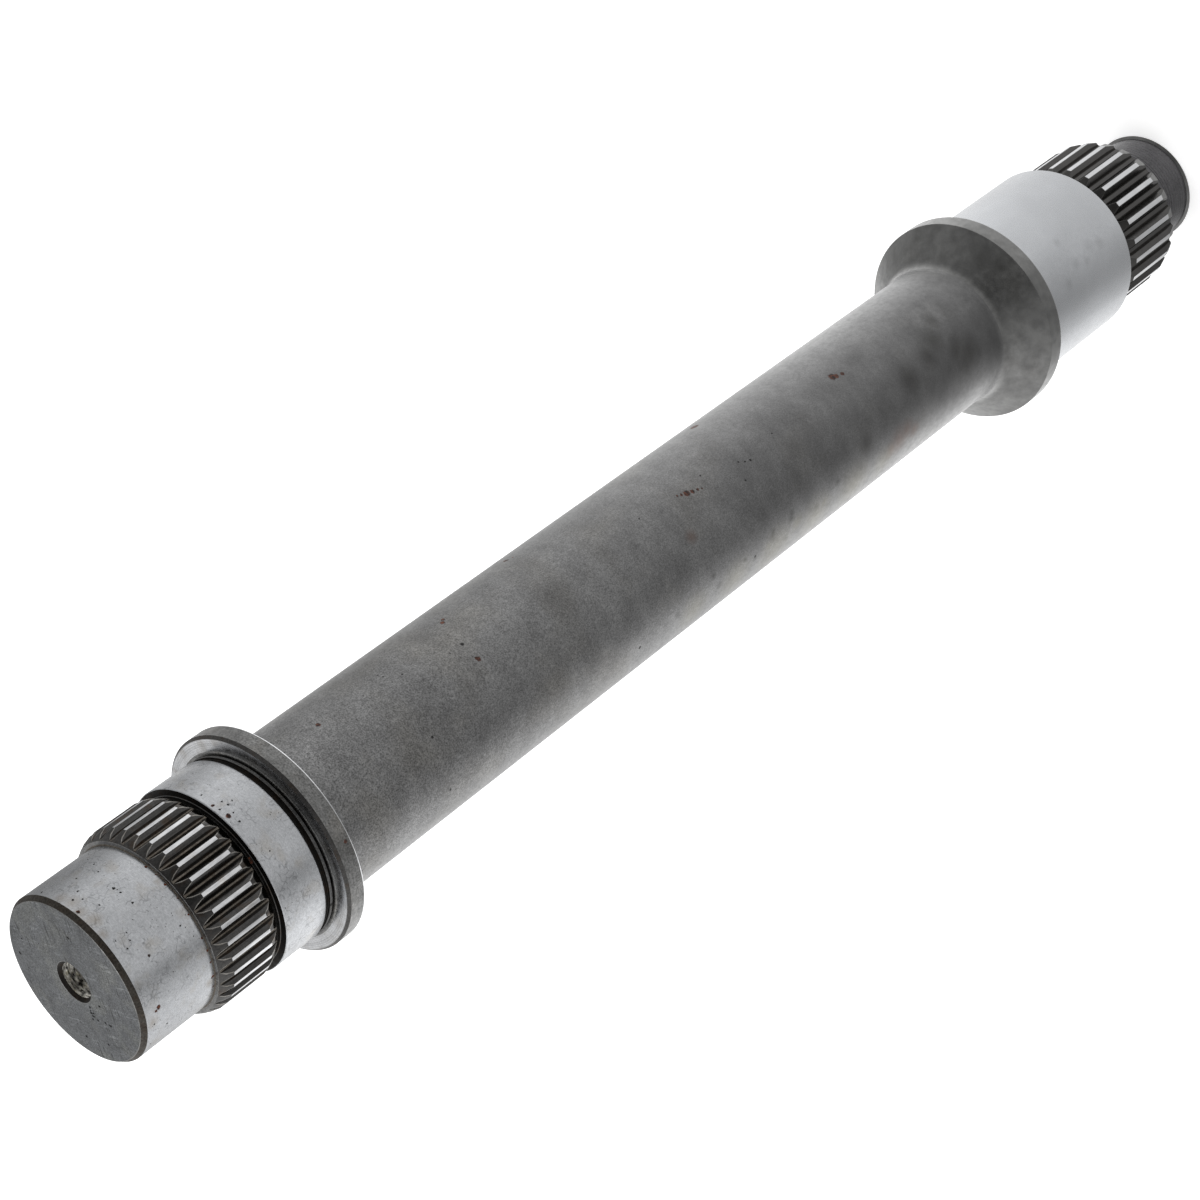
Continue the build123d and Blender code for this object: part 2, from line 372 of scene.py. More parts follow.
# Finishes. A layer of tone is (size in mm, spread, whether it fades towards the threaded end, how much finer
# along X, Y and Z). The finest are coarser than the real grain, so that they still show at the camera's
# distance. Tint is (colour, size in mm, from, to, share), bump is (strength, size in mm, depth in mm), specks
# are (spacing in mm, reach, strength), scribbles (size in mm, gain), scratches (degrees, size in mm, gain),
# rings (spacing in mm, spread) and heights (height in mm, level).
finishes = {
    # Satin and bright, with short wheel lines round the shaft: it shows the studio as soft bands
    "ground": {
        "name": "caseHardenedSteelGround", "base": "#C9CBCE", "rough": 0.26, "roughSpread": 0.25,
        "layers": [(0.5, 0.3, True), (0.45, 0.2, True, (0.3, 0.3, 2.5)), (4, 0.1, True), (14, 0.1, False)],
        "tint": ("#A99D88", 5.0, 0.54, 0.72, 0.28), "bump": (0.5, 0.25, 0.0015),
        "specks": (1.1, 0.13, 0.85), "scribbles": (2.6, -0.35),
    },
    # Tips of the teeth, rubbed by the gear that slid over them: brighter than the seats. On the small
    # collar's lower rounding the same finish is a painted highlight line
    "land": {
        "name": "caseHardenedSteelRubbed", "base": "#EFF0F2", "rough": 0.22, "roughSpread": 0.2,
        "layers": [(0.5, 0.4, True, (1, 1, 0.2)), (5, 0.15, False)],
        "tint": ("#C9BFAE", 4.0, 0.56, 0.75, 0.35), "bump": (0.4, 0.3, 0.0015),
        "heights": [(20, 0.84), (60, 0.88), (460, 1.0)],
    },
    # Blasted grey, darkened by heat treatment: matt in front, brighter where the light grazes it
    "turned": {
        "name": "caseHardenedSteelBlasted", "base": "#828282", "rough": 0.42, "roughSpread": 0.15,
        "coat": 0.5,
        "layers": [(0.42, 1.25, True), (1.1, 0.38, True), (9, 0.34, False, (1, 1, 1.5)), (30, 0.22, False)],
        "tint": ("#7D7970", 22.0, 0.5, 0.7, 0.4), "bump": (0.5, 0.35, 0.003), "specks": (2.6, 0.1, 0.6),
        # Darker towards the flare, most at 150 mm, and lightest towards the small collar
        "heights": [(110, 0.86), (150, 0.74), (220, 0.86), (300, 1.0), (439, 1.02)],
    },
    # Turned and heat treated, a little browner and coarser than the body, with tool lines round it
    "collar": {
        "name": "caseHardenedSteelTurned", "base": "#7F7F7E", "rough": 0.38, "roughSpread": 0.2, "coat": 0.5,
        "layers": [(0.5, 1.0, True), (0.5, 0.5, True, (0.15, 0.15, 2)), (3.5, 0.42, False), (12, 0.3, False)],
        "tint": ("#7B756B", 9.0, 0.5, 0.7, 0.35), "bump": (0.6, 0.3, 0.003), "specks": (1.8, 0.13, 0.6),
    },
    # Ground face: bright where it mirrors the lit side of the studio and dark in front
    "collarFace": {
        "name": "caseHardenedSteelGroundFace", "base": "#D0D1D3", "rough": 0.26, "roughSpread": 0.15,
        "layers": [(0.5, 0.3, True), (4, 0.2, True)], "rings": (0.45, 0.22),
        "tint": ("#8F877B", 5.0, 0.5, 0.7, 0.4), "bump": (0.15, 0.3, 0.0015), "specks": (1.8, 0.15, 0.7),
    },
    # Faced end: blue-grey and even, with fine scratches and handling marks
    "faced": {
        "name": "caseHardenedSteelFaced", "base": "#6C6E70", "rough": 0.36, "roughSpread": 0.25,
        "specular": 0.0,
        "layers": [(0.45, 1.1, False), (1.1, 0.3, False), (3, 0.35, False), (12, 0.3, False)],
        "tint": ("#7A7B77", 7.0, 0.5, 0.62, 0.45), "bump": (0.5, 0.3, 0.0015), "specks": (1.6, 0.15, 0.75),
        "scribbles": (3.4, -0.4), "scratches": [(35, 0.55, -0.6), (-62, 0.7, 0.5)],
    },
    # Chamfer turned before hardening: dark and a little brown
    "chamfer": {
        "name": "caseHardenedSteelChamfer", "base": "#534F4A", "rough": 0.48, "roughSpread": 0.2,
        "layers": [(0.5, 0.9, False), (3, 0.35, False)],
        "tint": ("#463A30", 2.0, 0.5, 0.7, 0.5), "bump": (0.5, 0.3, 0.003),
    },
    # Floors of the tooth gaps under a brown film of old oil: dull
    "oilFilm": {
        "name": "oilFilmOnSteel", "base": "#7A746C", "rough": 0.5, "roughSpread": 0.2,
        "layers": [(0.5, 0.7, False), (3, 0.3, False)],
        "tint": ("#5A4E42", 2.0, 0.5, 0.7, 0.5), "bump": (0.5, 0.3, 0.003),
    },
    # Hobbed tooth flanks: smooth enough to mirror each other, so the gaps go dark, with lines along the teeth
    "flank": {
        "name": "caseHardenedSteelHobbed", "base": "#565554", "rough": 0.22, "roughSpread": 0.25,
        "layers": [(0.5, 0.5, True, (1, 1, 0.12)), (0.5, 0.4, True), (4, 0.2, False)],
        "tint": ("#4E4135", 4.0, 0.54, 0.68, 0.6), "bump": (0.5, 0.4, 0.003), "specks": (1.6, 0.1, 0.6),
    },
    # Near black: painted shade in the grooves and the undercut, on the small seat's upper shoulder, in the
    # countersink at the pilot end and at the feet of the teeth, over old oil and dust there
    "grime": {
        "name": "oilyGrimeOnSteel", "base": "#2B2927", "rough": 0.45, "roughSpread": 0.2,
        "layers": [(0.6, 0.6, False), (4, 0.3, False)],
        "tint": ("#3A2E24", 3.0, 0.5, 0.65, 0.6), "bump": (0.5, 0.4, 0.003),
    },
    # Edges of the teeth at their lead-in: a painted highlight along them, with some rubbing
    "edge": {
        "name": "caseHardenedSteelWornEdge", "base": "#A8A5A0", "rough": 0.32, "roughSpread": 0.1,
        "layers": [(0.8, 0.6, False)],
        "tint": ("#8C8478", 2.0, 0.5, 0.7, 0.5), "bump": (0.3, 0.3, 0.0015),
    },
    # Phosphated thread and neck: dark grey with a little sheen
    "thread": {
        "name": "phosphatedSteelThread", "base": "#5F5E60", "rough": 0.26, "roughSpread": 0.15,
        "layers": [(0.8, 0.4, False), (5, 0.3, False)],
        "tint": ("#4A4642", 4.0, 0.5, 0.7, 0.5), "bump": (0.5, 0.4, 0.003),
    },
    # Threaded centre hole, wet with a little yellow oil: strong layers of noise paint glints among black
    # shadow into its colour
    "bore": {
        "name": "oiledSteelBore", "base": "#D2D0CB", "rough": 0.2, "roughSpread": 0.3, "metal": 0.4,
        # Painted glints and painted black shadow: noise spread so far that the tone runs from near black to
        # bright
        "layers": [(0.8, 2.6, False, (0.5, 0.5, 1.6)), (1.9, 2.4, False)],
        "tint": ("#B4A97E", 1.2, 0.56, 0.66, 0.4), "bump": (0.8, 0.5, 0.03),
    },
}

# Rust and dark marks by finish: height in mm, degrees round from the side that faces the camera, radius in mm
rustMarks = {
    "ground": [
        (460.8, -21.7, 0.75), (461.3, -32, 0.5), (502.3, 44.2, 0.7), (503.3, 45.5, 0.45),
        (505.8, -32.1, 0.5), (499.3, 13.2, 0.4), (484.7, -14, 0.4), (484.6, 24, 0.4), (484.7, 52, 0.45),
        (507, -45, 0.4), (507, -56, 0.35), (484.7, -30, 0.35), (484.6, -22, 0.3), (484.6, -3, 0.3),
        (484.7, 8, 0.28), (484.6, 33, 0.35), (484.7, 41, 0.3), (484.7, 61, 0.4),
    ],
    "turned": [
        (371.0, -11.4, 0.75), (371.3, -12.6, 0.5), (276.8, -18.4, 1.1), (278.6, -19.9, 0.5),
        (274.8, -16.9, 0.7), (272.9, -16.0, 0.5), (271.4, -14.9, 0.4), (280.0, -21.0, 0.35),
        (367.6, -50, 0.7), (366.4, -52.5, 0.6), (200.9, -24.8, 1.3), (199.6, -23.4, 0.9),
        (197.2, -22.0, 0.7), (420.1, -40.3, 0.7), (246.5, -69.5, 1.3), (333, -69, 0.8), (331, -66.5, 0.3),
    ],
    "collar": [(441.1, 22.2, 0.55)],
    "flank": [(463.0, 3.2, 0.4), (463.1, 5.0, 0.5)],
}
darkMarks = {
    "ground": [
        (458.4, -27, 0.4), (459.7, -15.7, 0.33), (460.5, -42, 0.3), (461, -27.7, 0.3), (458.8, -30.7, 0.3),
        (456.7, -27.8, 0.25), (459.1, -21.6, 0.25), (458.4, 6, 0.25), (494.8, -30.9, 0.42),
        (505.4, -65.8, 0.4), (503.9, -41.2, 0.35), (494.3, -16.5, 0.3), (493.3, -48, 0.3), (503, 2.7, 0.3),
        (494.6, -26.1, 0.3), (501.2, -44.5, 0.28), (502.3, -37.7, 0.28), (491.6, -56.1, 0.3),
        (488.2, 10.5, 0.27), (500.3, 62.1, 0.27), (500.8, -27.6, 0.27), (501.2, -0.4, 0.25),
        (500.7, -4.6, 0.25), (504.4, 54.1, 0.25), (497.9, -54.8, 0.27), (505.1, 71.8, 0.25),
        (490.6, -65.7, 0.3), (504.2, -4.6, 0.22), (485.3, 52.5, 0.25),
    ],
    "turned": [
        (371.0, -25.9, 0.55), (397.6, 50.3, 0.4), (433.9, -37.8, 0.4), (395.1, -41.2, 0.32),
        (391.1, -33.7, 0.3), (395.5, -45.2, 0.3), (397.7, 10.8, 0.35), (434.5, -25.1, 0.3),
        (371, -37.7, 0.3), (434.2, -31.1, 0.3), (268, -23, 0.3), (236.2, -17, 0.3), (431, -66.6, 0.35),
        (431.9, 61.6, 0.5), (376, -26, 0.25), (252, -12, 0.4), (254, -14.5, 0.35), (250, -10.5, 0.4),
        (317.4, 54.6, 0.5), (262.9, 53, 0.5), (256.7, -1, 0.35), (296, -24, 0.3),
    ],
    "collar": [(446.3, 58, 0.62)],
}
# Soft patches by finish, of old oil, a haze of rust, warm tints, dark patches and a painted dark reflection:
# colour, share, and places like those of the marks
patches = {
    "turned": [
        ("#3A3935", 0.48, [
            (254.1, 44.4, 1.6), (254.3, 47.5, 1.6), (253.9, 51, 1.3), (247.2, 59.2, 1.5),
            (245.2, 44.7, 2.0), (244.6, 41, 1.6), (283, 42.5, 1.5), (280, 54.5, 1.6), (262.9, 55, 1.2),
            # From (158, -3) on: larger dark patches near the flare, at the front
            (300, 52, 1.5), (268, 49, 1.1), (232, 52, 1.5), (221, 44, 1.8), (158, -3, 6.5), (164, 6, 5),
            (147, 23, 6.5), (151, 14, 5), (153, -14, 4), (176, 12, 5), (205, 33, 4),
        ]),
        ("#6E5548", 0.5, [(188, 49, 5.5), (184, 45, 4), (192, 52, 3.5), (180, 50, 3), (286, 8, 2.5)]),
        ("#85806C", 0.34, [
            (212, 60, 9), (232, 62, 9), (252, 62, 9), (272, 61, 8), (292, 60, 7), (196, 58, 6),
            (242, 52, 3.5), (256, 54, 3), (228, 53, 3),
        ]),
    ],
    # On the flare at the front: a painted dark reflection of the body
    "collar": [("#3A3935", 0.36, [(121, -1, 5), (120.5, -12, 5), (121, -23, 4.5), (121.5, 6, 3)])],
    "ground": [
        ("#6F6F6D", 0.16, [
            (88, 14, 2.4), (82, 17, 2), (78, 9, 3), (95, 22, 2.2), (72, 12, 2.5), (90, -4, 2),
        ]),
        ("#8F7F68", 0.4, [
            (505.2, -48, 2.2), (504.6, -40, 2.6), (505.4, -31, 2.2), (504.4, -22, 2.4), (505.6, -12, 1.6),
            (504.8, 52, 2.2), (486, 55, 1.6), (485.6, -18, 1.2),
        ]),
    ],
}
# Marks on the pilot's end face: X, Y and radius in mm
faceMarks = [
    (-8.58, 2.47, 0.48), (-8.9, 1.7, 0.39), (13.94, 14.94, 0.45), (-8.34, -3.41, 0.39),
    (9.33, -12.47, 0.45), (-12.53, 12.96, 0.45), (-12.48, -0.62, 0.39), (-17.37, 5.52, 0.39),
    (-10, 4, 0.38), (-7.2, 1.2, 0.38), (-11, 2, 0.38), (-9.4, 2.9, 0.33), (-9.7, 2.5, 0.33),
    (-8.0, 2.0, 0.3), (-13.6, -1.6, 0.36), (-13.9, -1.9, 0.33), (16.4, 9.1, 0.36),
]
stainColours = {
    "speck": "#231E1A", "rustDark": "#22100A", "rustLight": "#6B3519", "mark": "#14110F",
    "faceMark": "#0F0D0B",
}

# What all finishes share: the heights in metres between which fine marks fade, since the threaded end is soft
# in the photo, sizes and reaches in millimetres, and what a mark does to the metal under it
steel = {
    "fadeFrom": 0.1, "fadeTo": 0.44, "leastShare": 0.05, "leastTone": 0.03, "rim": 1.15,
    "raggedSize": 0.6, "raggedReach": 0.35, "crowdSize": 9, "rustSize": 0.7, "scratchPatch": 6,
    "unevenSize": 1.5, "unevenFrom": 0.3, "unevenTo": 0.7, "coatRough": 0.35,
    "markMetal": -0.9, "markRough": 0.4,
}


# Marks on the skin, as places in metres with radii in millimetres
def onSkin(marks):
    s = shaft
    widths = (
        (s["bodyTop"], s["smallCollarRadius"]), (s["landFoot"], s["landRadius"]),
        (s["smallSeatFoot"], s["smallSeatRadius"]), (s["smallSeatTop"], s["runoutRadius"]),
        (s["pilotSplineTop"], s["pilotRadius"]),
    )
    places = []
    for height, around, size in marks:
        narrowing = max(height - s["largeCollarTop"], 0) * math.tan(math.radians(s["flareAngle"]))
        radius = max(bodyRadius(height), s["largeCollarRadius"] - narrowing)
        if height < s["largeSeatTop"]:
            radius = s["largeSeatRadius"]
        for foot, wider in widths:
            if height > foot:
                radius = wider
        angle = math.radians(cameraAzimuth - around)
        places.append(((radius * math.cos(angle) * mm, radius * math.sin(angle) * mm, height * mm), size))
    return places


# A mask of round spots: 1 inside them, falling off over the given share of their radius
def spotMask(tree, place, spots, falloff):
    nearest, rim = None, steel["rim"]
    for spot, radius in spots:
        away = addNode(tree, "ShaderNodeVectorMath", {"operation": "DISTANCE", 0: place, 1: spot})
        share = addNode(tree, "ShaderNodeMath", {
            "operation": "MULTIPLY", 0: away.outputs["Value"], 1: 1 / (radius * mm)})
        if nearest:
            share = addNode(tree, "ShaderNodeMath", {"operation": "MINIMUM", 0: share, 1: nearest})
        nearest = share
    return addNode(tree, "ShaderNodeMapRange", {"From Min": rim, "From Max": rim - falloff, "Value": nearest})


# Noise with features of a size in millimetres, finer along some axes
def noiseOf(tree, place, size, finer=(1, 1, 1), detail=2.0):
    squeezed = addNode(tree, "ShaderNodeVectorMath", {"operation": "MULTIPLY", 0: place, 1: finer})
    return addNode(tree, "ShaderNodeTexNoise", {
        "Vector": squeezed, "Scale": 1 / (size * mm), "Detail": detail})


# Greys from stops that run from share 0 to share 1
def greyRamp(tree, share, stops):
    ramp = addNode(tree, "ShaderNodeValToRGB", {"Fac": share})
    elements = ramp.color_ramp.elements
    for element, (at, level) in zip(elements, (stops[0], stops[-1])):
        element.position = at
        element.color = (level, level, level, 1)
    for at, level in stops[1:-1]:
        elements.new(at).color = (level, level, level, 1)
    return ramp


# Tone of a finish as one factor: its layers of noise, its greys by height and its rings round the axis
def toneOf(tree, look, place, axes, focus):
    tone = None
    for size, spread, fades, *finer in look["layers"]:
        noise = noiseOf(tree, place, size, *finer)
        centred = addNode(tree, "ShaderNodeMath", {"operation": "SUBTRACT", 0: noise, 1: 0.5})
        if fades:
            centred = addNode(tree, "ShaderNodeMath", {"operation": "MULTIPLY", 0: centred, 1: focus})
        layer = addNode(tree, "ShaderNodeMath", {
            "operation": "MULTIPLY_ADD", 0: centred, 1: 2 * spread, 2: 1.0})
        layer = addNode(tree, "ShaderNodeMath", {"operation": "MAXIMUM", 0: layer, 1: steel["leastTone"]})
        if tone:
            layer = addNode(tree, "ShaderNodeMath", {"operation": "MULTIPLY", 0: layer, 1: tone})
        tone = layer
    if "heights" in look:
        low, high = look["heights"][0][0], look["heights"][-1][0]
        share = addNode(tree, "ShaderNodeMapRange", {
            "From Min": low * mm, "From Max": high * mm, "Value": axes.outputs["Z"]})
        greys = greyRamp(tree, share, [((at - low) / (high - low), level) for at, level in look["heights"]])
        tone = addNode(tree, "ShaderNodeMath", {"operation": "MULTIPLY", 0: tone, 1: greys})
    if "rings" in look:
        spacing, spread = look["rings"]
        flat = addNode(tree, "ShaderNodeCombineXYZ", {"X": axes.outputs["X"], "Y": axes.outputs["Y"]})
        out = addNode(tree, "ShaderNodeVectorMath", {"operation": "LENGTH", 0: flat})
        lines = addNode(tree, "ShaderNodeTexNoise", {
            "noise_dimensions": "1D", "Scale": 1 / (spacing * mm), "Detail": 2.0, "W": out.outputs["Value"]})
        ringed = addNode(tree, "ShaderNodeMapRange", {
            "From Min": 0.25, "From Max": 0.75, "To Min": 1 - spread, "To Max": 1 + spread, "Value": lines})
        tone = addNode(tree, "ShaderNodeMath", {"operation": "MULTIPLY", 0: tone, 1: ringed})
    return tone


# Thin scribbles, where a patch of noise lets them show, as a factor
def scribblesOf(tree, place, focus, size, gain):
    wander = noiseOf(tree, place, size, detail=1.5)
    patch = noiseOf(tree, place, size * 2.2, detail=1.0)
    offset = addNode(tree, "ShaderNodeMath", {"operation": "SUBTRACT", 0: wander, 1: 0.5})
    line = addNode(tree, "ShaderNodeMath", {"operation": "ABSOLUTE", 0: offset})
    thin = addNode(tree, "ShaderNodeMapRange", {"From Min": 0.03, "From Max": 0.0, "Value": line})
    here = addNode(tree, "ShaderNodeMapRange", {
        "From Min": 0.5, "From Max": 0.58, "To Max": gain, "Value": patch})
    sharp = addNode(tree, "ShaderNodeMath", {"operation": "MULTIPLY", 0: here, 1: focus})
    return addNode(tree, "ShaderNodeMath", {"operation": "MULTIPLY_ADD", 0: thin, 1: sharp, 2: 1.0})


# Straight scratches at an angle on the end face, in patches, as a factor
def scratchesOf(tree, place, angle, size, gain):
    turned = addNode(tree, "ShaderNodeVectorRotate", {
        "rotation_type": "Z_AXIS", "Angle": math.radians(angle), "Vector": place})
    streaks = noiseOf(tree, turned, size, (0.06, 1, 1), 1.0)
    patch = noiseOf(tree, place, steel["scratchPatch"], detail=1.0)
    thin = addNode(tree, "ShaderNodeMapRange", {"From Min": 0.59, "From Max": 0.65, "Value": streaks})
    here = addNode(tree, "ShaderNodeMapRange", {
        "From Min": 0.52, "From Max": 0.6, "To Max": gain, "Value": patch})
    return addNode(tree, "ShaderNodeMath", {"operation": "MULTIPLY_ADD", 0: thin, 1: here, 2: 1.0})


# Specks, rust and marks of a finish: pairs of a mask and the colour under it
def marksOf(tree, key, look, place, ragged, focus):
    marks = []
    if "specks" in look:
        spacing, reach, strength = look["specks"]
        cells = addNode(tree, "ShaderNodeTexVoronoi", {"Scale": 1 / (spacing * mm), "Vector": ragged})
        crowd = noiseOf(tree, place, steel["crowdSize"], detail=1.0)
        width = addNode(tree, "ShaderNodeMapRange", {
            "From Min": 0.42, "From Max": 0.62, "To Min": 0.02, "To Max": reach, "Value": crowd})
        inside = addNode(tree, "ShaderNodeMath", {
            "operation": "LESS_THAN", 0: cells.outputs["Distance"], 1: width})
        near = addNode(tree, "ShaderNodeMath", {"operation": "MULTIPLY", 0: focus, 1: strength})
        speck = addNode(tree, "ShaderNodeMath", {"operation": "MULTIPLY", 0: inside, 1: near})
        marks.append((speck, linear(stainColours["speck"])))
    if key in rustMarks:
        noise = noiseOf(tree, place, steel["rustSize"])
        share = addNode(tree, "ShaderNodeMapRange", {"From Min": 0.42, "From Max": 0.62, "Value": noise})
        rust = addNode(tree, "ShaderNodeMix", {
            "data_type": "RGBA", 0: share, 6: linear(stainColours["rustDark"]),
            7: linear(stainColours["rustLight"])})
        marks.append((spotMask(tree, ragged, onSkin(rustMarks[key]), 0.35), rust.outputs[2]))
    if key in darkMarks:
        marks.append((spotMask(tree, ragged, onSkin(darkMarks[key]), 0.4), linear(stainColours["mark"])))
    if key == "faced":
        places = [((x * mm, y * mm, shaft["top"] * mm), radius) for x, y, radius in faceMarks]
        marks.append((spotMask(tree, ragged, places, 0.6), linear(stainColours["faceMark"])))
    return marks


def steelMaterial(key, look):
    material = bpy.data.materials.new(look["name"])
    material.use_nodes = True
    tree = material.node_tree
    shader = tree.nodes["Principled BSDF"]
    place = addNode(tree, "ShaderNodeTexCoord").outputs["Object"]
    axes = addNode(tree, "ShaderNodeSeparateXYZ", {0: place})
    focus = addNode(tree, "ShaderNodeMapRange", {
        "From Min": steel["fadeFrom"], "From Max": steel["fadeTo"], "To Min": steel["leastShare"],
        "Value": axes.outputs["Z"]})

    tintColour, tintSize, tintFrom, tintTo, tintShare = look["tint"]
    tintNoise = noiseOf(tree, place, tintSize, detail=3.0)
    tintMask = addNode(tree, "ShaderNodeMapRange", {
        "From Min": tintFrom, "From Max": tintTo, "To Max": tintShare, "Value": tintNoise})
    tintFaded = addNode(tree, "ShaderNodeMath", {"operation": "MULTIPLY", 0: tintMask, 1: focus})
    colour = addNode(tree, "ShaderNodeMix", {
        "data_type": "RGBA", 0: tintFaded, 6: linear(look["base"]), 7: linear(tintColour)}).outputs[2]
    factors = [toneOf(tree, look, place, axes, focus)]
    if "scribbles" in look:
        factors.append(scribblesOf(tree, place, focus, *look["scribbles"]))
    factors += [scratchesOf(tree, place, *scratches) for scratches in look.get("scratches", [])]
    for factor in factors:
        scaled = addNode(tree, "ShaderNodeVectorMath", {"operation": "SCALE", 0: colour, "Scale": factor})
        colour = scaled.outputs[0]

    # Noise shifts the place, so that the rims of the marks are ragged
    warp = noiseOf(tree, place, steel["raggedSize"]).outputs["Color"]
    reach = steel["raggedReach"] * mm
    shifted = addNode(tree, "ShaderNodeVectorMath", {
        "operation": "MULTIPLY_ADD", 0: warp, 1: (2 * reach,) * 3, 2: (-reach,) * 3})
    ragged = addNode(tree, "ShaderNodeVectorMath", {"operation": "ADD", 0: place, 1: shifted})
    for stain, share, spots in patches.get(key, []):
        soft = spotMask(tree, ragged, onSkin(spots), 1.0)
        faint = addNode(tree, "ShaderNodeMath", {"operation": "MULTIPLY", 0: soft, 1: share})
        colour = addNode(tree, "ShaderNodeMix", {
            "data_type": "RGBA", 0: faint, 6: colour, 7: linear(stain)}).outputs[2]
    dull = None
    for mask, stain in marksOf(tree, key, look, place, ragged, focus):
        stained = addNode(tree, "ShaderNodeMix", {"data_type": "RGBA", 0: mask, 6: colour, 7: stain})
        colour = stained.outputs[2]
        if dull:
            mask = addNode(tree, "ShaderNodeMath", {"operation": "MAXIMUM", 0: mask, 1: dull})
        dull = mask
    tree.links.new(colour, shader.inputs["Base Color"])

    uneven = noiseOf(tree, place, steel["unevenSize"])
    rough = addNode(tree, "ShaderNodeMapRange", {
        "From Min": steel["unevenFrom"], "From Max": steel["unevenTo"],
        "To Min": look["rough"] * (1 - look["roughSpread"]),
        "To Max": look["rough"] * (1 + look["roughSpread"]), "Value": uneven})
    shader.inputs["Metallic"].default_value = look.get("metal", 1.0)
    if dull:
        metal = addNode(tree, "ShaderNodeMath", {
            "operation": "MULTIPLY_ADD", 0: dull, 1: steel["markMetal"], 2: 1.0})
        tree.links.new(metal.outputs[0], shader.inputs["Metallic"])
        rough = addNode(tree, "ShaderNodeMath", {
            "operation": "MULTIPLY_ADD", 0: dull, 1: steel["markRough"], 2: rough})
    tree.links.new(rough.outputs[0], shader.inputs["Roughness"])
    strength, size, depth = look["bump"]
    felt = addNode(tree, "ShaderNodeMath", {"operation": "MULTIPLY", 0: focus, 1: strength})
    bump = addNode(tree, "ShaderNodeBump", {
        "Distance": depth * mm, "Strength": felt, "Height": noiseOf(tree, place, size)})
    tree.links.new(bump.outputs["Normal"], shader.inputs["Normal"])
    shader.inputs["Specular IOR Level"].default_value = look.get("specular", 0.5)
    shader.inputs["Coat Weight"].default_value = look.get("coat", 0.0)
    shader.inputs["Coat Roughness"].default_value = steel["coatRough"]
    return material


materials = {key: steelMaterial(key, look) for key, look in finishes.items()}


def threadValues(t):
    return {
        "Radius": t["radius"] * mm, "Start": t["start"] * mm, "Turns": t["turns"],
        "Length": t["turns"] * t["pitch"] * mm, "Depth": t["depth"] * mm, "Root Width": t["rootWidth"] * mm,
        "Crest Width": t["crestWidth"] * mm, "Fade": t["fade"], "Side": t["side"],
        "Points Per Turn": t["pointsPerTurn"], "Finish": finishNames.index(t["finish"]),
    }


def newInputs(tree, values):
    for name, value in values.items():
        kind = {int: "NodeSocketInt", float: "NodeSocketFloat"}.get(type(value), "NodeSocketObject")
        tree.interface.new_socket(name, in_out="INPUT", socket_type=kind)


# Geometry Nodes: a sector repeated round the axis
def sectorRingTree():
    tree = bpy.data.node_groups.new("sectorRing", "GeometryNodeTree")
    newInputs(tree, {"Sector": lowerSector, "Count": driveTeeth["count"], "First Gap": 0.0})
    tree.interface.new_socket("Geometry", in_out="OUTPUT", socket_type="NodeSocketGeometry")
    given = addNode(tree, "NodeGroupInput").outputs
    sector = addNode(tree, "GeometryNodeObjectInfo", {
        "transform_space": "ORIGINAL", "Object": given["Sector"]})
    spots = addNode(tree, "GeometryNodePoints", {"Count": given["Count"]})
    index = addNode(tree, "GeometryNodeInputIndex")
    pitch = addNode(tree, "ShaderNodeMath", {"operation": "DIVIDE", 0: 2 * math.pi, 1: given["Count"]})
    turned = addNode(tree, "ShaderNodeMath", {
        "operation": "MULTIPLY_ADD", 0: index, 1: pitch, 2: given["First Gap"]})
    rotation = addNode(tree, "ShaderNodeCombineXYZ", {"Z": turned})
    placed = addNode(tree, "GeometryNodeInstanceOnPoints", {
        "Points": spots, "Instance": sector.outputs["Geometry"], "Rotation": rotation})
    real = addNode(tree, "GeometryNodeRealizeInstances", {"Geometry": placed})
    addNode(tree, "NodeGroupOutput", {"Geometry": real})
    return tree


